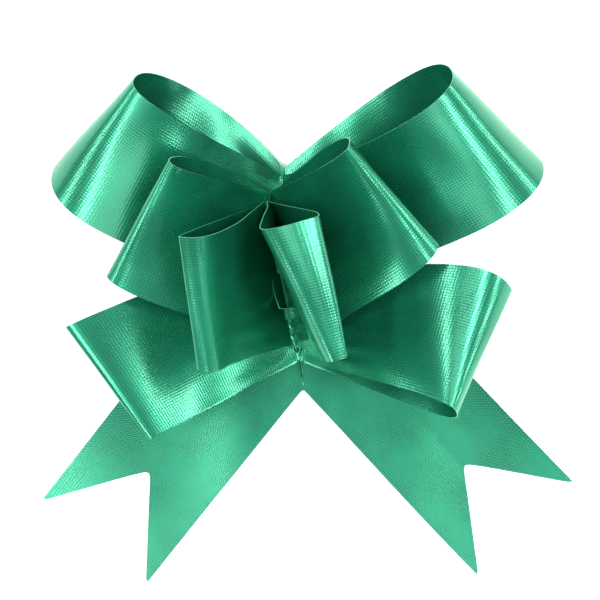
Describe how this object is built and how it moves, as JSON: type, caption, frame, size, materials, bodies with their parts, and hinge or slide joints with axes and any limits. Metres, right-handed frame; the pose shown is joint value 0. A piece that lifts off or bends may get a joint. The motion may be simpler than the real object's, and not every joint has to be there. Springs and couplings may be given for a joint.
{
  "type": "pull bow",
  "caption": "Butterfly pull bow of one wide embossed plastic ribbon in paired loops, gathered at a crease on a narrow pull ribbon, with two swallow-tail ends.",
  "frame": {"origin": "centre line of the knot's flat back face, which lies on the gift", "axes": "+Z away from the gift towards the viewer, +Y up the bow, +X to its right"},
  "size_m": [0.1266, 0.1215, 0.0533],
  "materials": {
    "ribbon": "emerald satin polypropylene ribbon with a fine embossed dot texture",
    "pull_ribbon": "narrow emerald polypropylene pull ribbon, lighter where it lies over the crease"
  },
  "bodies": {
    "spine": {"crossing_tail_left": "ribbon", "crossing_tail_right": "ribbon", "crossing_upper_left": "ribbon", "crossing_upper_right": "ribbon", "crossing_middle_left": "ribbon", "crossing_middle_right": "ribbon", "crossing_centre_left": "ribbon", "crossing_centre_right": "ribbon", "centre_valley": "ribbon", "pull_ribbon_upper": "pull_ribbon", "pull_ribbon_lower": "pull_ribbon", "pull_ribbon_bridge": "pull_ribbon", "pull_ribbon_knot": "pull_ribbon", "tie_end_upper": "pull_ribbon", "tie_end_lower": "pull_ribbon"},
    "tail_left": {"tail_left": "ribbon"},
    "tail_right": {"tail_right": "ribbon"},
    "upper_loop_left": {"upper_loop_left": "ribbon"},
    "upper_loop_right": {"upper_loop_right": "ribbon"},
    "lower_loop_left": {"lower_loop_left": "ribbon"},
    "lower_loop_right": {"lower_loop_right": "ribbon"},
    "middle_loop_left": {"middle_loop_left": "ribbon"},
    "middle_loop_right": {"middle_loop_right": "ribbon"},
    "centre_loop_left": {"centre_loop_left": "ribbon"},
    "centre_loop_right": {"centre_loop_right": "ribbon"}
  },
  "joints": [
    {"name": "tail_left_lift", "type": "hinge", "parent": "spine", "child": "tail_left", "pos_m": [-0.00052, -0.00225, 0.0016], "axis": [-0.069, 0.9976, 0], "range_deg": [0, 2], "stiffness_Nm_per_rad": 0.02},
    {"name": "tail_right_lift", "type": "hinge", "parent": "spine", "child": "tail_right", "pos_m": [0.00428, -0.00225, 0.0016], "axis": [0.069, -0.9976, 0], "range_deg": [0, 2], "stiffness_Nm_per_rad": 0.02},
    {"name": "upper_loop_left_fluff", "type": "hinge", "parent": "spine", "child": "upper_loop_left", "pos_m": [-0.00192, 0.0065, 0.0037], "axis": [-0.094, 0.9956, 0], "range_deg": [-4, 0], "stiffness_Nm_per_rad": 0.02},
    {"name": "upper_loop_right_fluff", "type": "hinge", "parent": "spine", "child": "upper_loop_right", "pos_m": [0.00283, 0.007, 0.0037], "axis": [0.094, -0.9956, 0], "range_deg": [-2, 3], "stiffness_Nm_per_rad": 0.02},
    {"name": "lower_loop_left_fluff", "type": "hinge", "parent": "spine", "child": "lower_loop_left", "pos_m": [-0.0014, -0.00588, 0.0065], "axis": [-0.127, 0.9919, 0], "range_deg": [0, 1.5], "stiffness_Nm_per_rad": 0.02},
    {"name": "lower_loop_right_fluff", "type": "hinge", "parent": "spine", "child": "lower_loop_right", "pos_m": [0.00398, -0.01038, 0.0065], "axis": [0.127, -0.9919, 0], "range_deg": [0, 1], "stiffness_Nm_per_rad": 0.02},
    {"name": "middle_loop_left_fluff", "type": "hinge", "parent": "spine", "child": "middle_loop_left", "pos_m": [-0.00323, 0.0015, 0.0093], "axis": [-0.1595, 0.9872, 0], "range_deg": [-1, 4], "stiffness_Nm_per_rad": 0.02},
    {"name": "middle_loop_right_fluff", "type": "hinge", "parent": "spine", "child": "middle_loop_right", "pos_m": [0.00153, 0.00175, 0.0093], "axis": [0.1595, -0.9872, 0], "range_deg": [0, 5], "stiffness_Nm_per_rad": 0.02},
    {"name": "centre_loop_left_fluff", "type": "hinge", "parent": "spine", "child": "centre_loop_left", "pos_m": [-0.00398, 0.00075, 0.0121], "axis": [-0.1916, 0.9815, 0], "range_deg": [-3, 4], "stiffness_Nm_per_rad": 0.02},
    {"name": "centre_loop_right_fluff", "type": "hinge", "parent": "spine", "child": "centre_loop_right", "pos_m": [0.00082, 0.00075, 0.0121], "axis": [0.1916, -0.9815, 0], "range_deg": [-3, 4], "stiffness_Nm_per_rad": 0.02}
  ]
}
